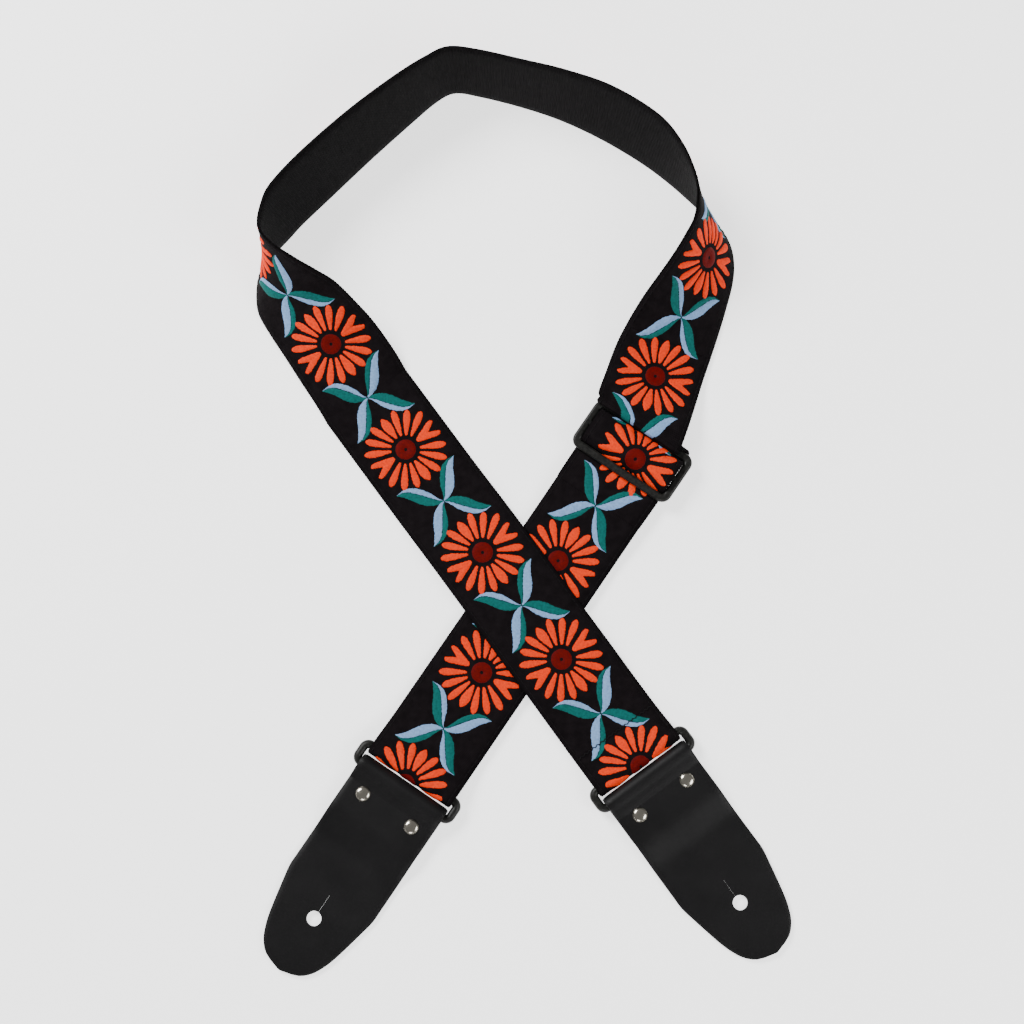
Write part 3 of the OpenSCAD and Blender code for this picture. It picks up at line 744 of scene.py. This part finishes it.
def pucker(u, y):
    """Leather drawn down round each rivet, with a small fold below it."""
    rise = 0.0
    for side in (-1, 1):
        dy = y - side * RIVET_PITCH / 2
        du = u - RIVET_AT
        r = math.hypot(du, dy)
        rise -= 0.55 * math.exp(-((r / 5.2) ** 2))
        rise += 0.5 * math.exp(-(((du - 6.2) / 1.7) ** 2) - (dy / 5.0) ** 2)
        rise += 0.22 * math.exp(-(((du - 8.6) / 0.9) ** 2) - ((dy - side * 1.5) / 4.0) ** 2)
    # the hide bows up between the rivets, and sags where it leaves the ring
    rise += 0.9 * math.exp(-(((u - 13) / 5.0) ** 2) - (y / 8.0) ** 2)
    rise -= 0.5 * math.exp(-(((u - 8.5) / 2.4) ** 2)) * (0.6 + 0.4 * math.cos(y / 6.0))
    return rise


def tab(name, arm, nodes):
    """The folded hide: a closed slab along its side view, narrowing to the rounded tip."""
    u_mid = np.array([p[0] for p in hide])
    z_mid = np.array([p[1] for p in hide])
    ahead = np.gradient(np.stack([u_mid, z_mid], axis=1), axis=0)
    ahead /= np.linalg.norm(ahead, axis=1)[:, None]
    out = np.stack([-ahead[:, 1], ahead[:, 0]], axis=1)
    front_from = len(hide) // 3
    across = np.linspace(-1, 1, 37)
    side_h = [HIDE_T / 2] * len(across) + [-HIDE_T / 2] * len(across)
    lateral = np.concatenate([across, across[::-1]])
    rows = []
    for i in range(len(hide)):
        w = half_width(u_mid[i]) if i > front_from else TAB_W / 2
        w = max(w, 0.6)
        row = []
        for k, y in enumerate(lateral):
            h = side_h[k]
            if abs(y) == 1:
                h *= 0.55
            elif abs(y) > 0.93:
                h *= 0.93
            yy = y * w
            lift = pucker(u_mid[i], yy) if i > front_from + 18 and h > 0 and u_mid[i] > 4 else 0.0
            flat = out[i] * h
            row.append((u_mid[i] + flat[0], yy, z_mid[i] + flat[1] + lift))
        rows.append(row)
    points = np.array([p for row in rows for p in row])
    cols = len(lateral)
    faces = grid_faces(len(rows), cols, closed=True)
    faces.append(tuple(range(cols - 1, -1, -1)))
    faces.append(tuple(len(points) - cols + k for k in range(cols)))
    world = arm.place(np.stack([-RING_PITCH - points[:, 0], -points[:, 1], points[:, 2]], axis=1))
    o = mesh_object(name, world, faces, [LEATHER])
    tools = []
    for kind in ("hole", "slit"):
        if kind == "hole":
            bpy.ops.mesh.primitive_cylinder_add(vertices=48, radius=HOLE_D / 2 * MM, depth=12 * MM)
            where = arm.place([[-RING_PITCH - HOLE_AT, 0, 2]])[0]
        else:
            bpy.ops.mesh.primitive_cube_add(size=1)
            bpy.context.object.scale = ((SLIT_L + 1) * MM, SLIT_W * MM, 12 * MM)
            where = arm.place([[-RING_PITCH - HOLE_AT + HOLE_D / 2 + SLIT_L / 2 - 0.5, 0, 2]])[0]
        cutter = bpy.context.object
        cutter.location = where
        cutter.rotation_euler[2] = math.atan2(arm.dir[1], arm.dir[0])
        tools.append(cutter)
    for cutter in tools:
        cut = o.modifiers.new("cut", "BOOLEAN")
        cut.object, cut.operation, cut.solver = cutter, "DIFFERENCE", "EXACT"
    bpy.context.view_layer.update()
    done = bpy.data.meshes.new_from_object(o.evaluated_get(bpy.context.evaluated_depsgraph_get()))
    o.modifiers.clear()
    o.data = done
    for cutter in tools:
        bpy.data.objects.remove(cutter)
    done.polygons.foreach_set("use_smooth", [True] * len(done.polygons))
    done.set_sharp_from_angle(angle=math.radians(50))
    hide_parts(nodes)
    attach(o, nodes)
    return o


def lathe(name, arm, profile, places, mat, node, body):
    """Turned pieces standing at places [u, y] of the arm, from a profile of [r, z]."""
    points, faces, n = [], [], 40
    for u, y in places:
        for r, z in profile:
            for k in range(n):
                a = 2 * math.pi * k / n
                points.append((u + r * math.cos(a), y + r * math.sin(a), z))
        faces += grid_faces(len(profile), n, base=len(points) - n * len(profile), closed=True)
    o = mesh_object(name, arm.place(points), faces, [mat])
    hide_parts(node)
    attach(o, body)
    return o


for letter, arm in (("a", ARM_A), ("b", ARM_B)):
    tab_node = "tab_" + letter
    tab("leather_" + tab_node, arm, tab_node)
    base = Z_FACE + HIDE_T / 2 - 0.25
    dome = [(CAP_D / 2 - 0.5, base - 0.2), (CAP_D / 2 - 0.1, base),
            (CAP_D / 2, base + 0.35), (CAP_D / 2 - 0.15, base + 0.7)]
    dome += [((CAP_D / 2 - 0.45) * math.cos(a), base + 0.75 + 0.95 * math.sin(a))
             for a in np.radians(np.linspace(0, 90, 9))]
    back = [(0.01, 0.22), (CAP_D / 2 - 0.9, 0.25), (CAP_D / 2 - 0.3, 0.5),
            (CAP_D / 2, 0.85), (CAP_D / 2 - 0.2, 1.3)]
    places = [(-RING_PITCH - RIVET_AT, side * RIVET_PITCH / 2) for side in (-1, 1)]
    lathe("rivet_caps_" + letter, arm, dome, places, NICKEL, "rivets_" + letter, tab_node)
    lathe("rivet_feet_" + letter, arm, back, places, NICKEL, "rivet_backs_" + letter, tab_node)

for node in ("ring_a", "ring_b", "slider"):
    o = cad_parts[node]
    for slot in o.material_slots:
        slot.material = PLASTIC

# ---- The floor, light and camera ----

bpy.ops.mesh.primitive_plane_add(size=6)
floor = bpy.context.object
floor.name = "floor"
floor_mat, _, floor_shader = material("floor", (0.97, 0.97, 0.97), 1.0)
floor_shader.inputs["Emission Color"].default_value = (1, 1, 1, 1)
floor_shader.inputs["Emission Strength"].default_value = 1.6
floor.data.materials.append(floor_mat)

world = bpy.data.worlds.new("studio")
bpy.context.scene.world = world
world.use_nodes = True
world.node_tree.nodes["Background"].inputs["Color"].default_value = (1, 1, 1, 1)
world.node_tree.nodes["Background"].inputs["Strength"].default_value = 0.2


def area_light(name, place, aim, size, power):
    data = bpy.data.lights.new(name, "AREA")
    data.shape, data.size, data.energy = "DISK", size, power
    o = bpy.data.objects.new(name, data)
    o.location = place
    o.rotation_euler = (Vector(aim) - Vector(place)).to_track_quat("-Z", "Y").to_euler()
    bpy.context.scene.collection.objects.link(o)
    return o


area_light("key", (-0.9, 0.75, 1.1), (0, 0, 0), 0.7, 34)
area_light("fill", (1.1, -0.5, 1.0), (0, 0, 0), 0.9, 15)
area_light("front", (-0.2, -1.3, 0.8), (0, 0, 0), 0.6, 7)

TARGET = Vector((-2.3 * MM, 0.0, 0.0))
ELEVATION, DISTANCE = math.radians(80), 1.1
camera_data = bpy.data.cameras.new("camera")
camera_data.lens, camera_data.sensor_width = 74.95, 36
camera = bpy.data.objects.new("camera", camera_data)
camera.location = TARGET + DISTANCE * Vector((0, -math.cos(ELEVATION), math.sin(ELEVATION)))
camera.rotation_euler = (TARGET - camera.location).to_track_quat("-Z", "Y").to_euler()
bpy.context.scene.collection.objects.link(camera)
bpy.context.scene.camera = camera
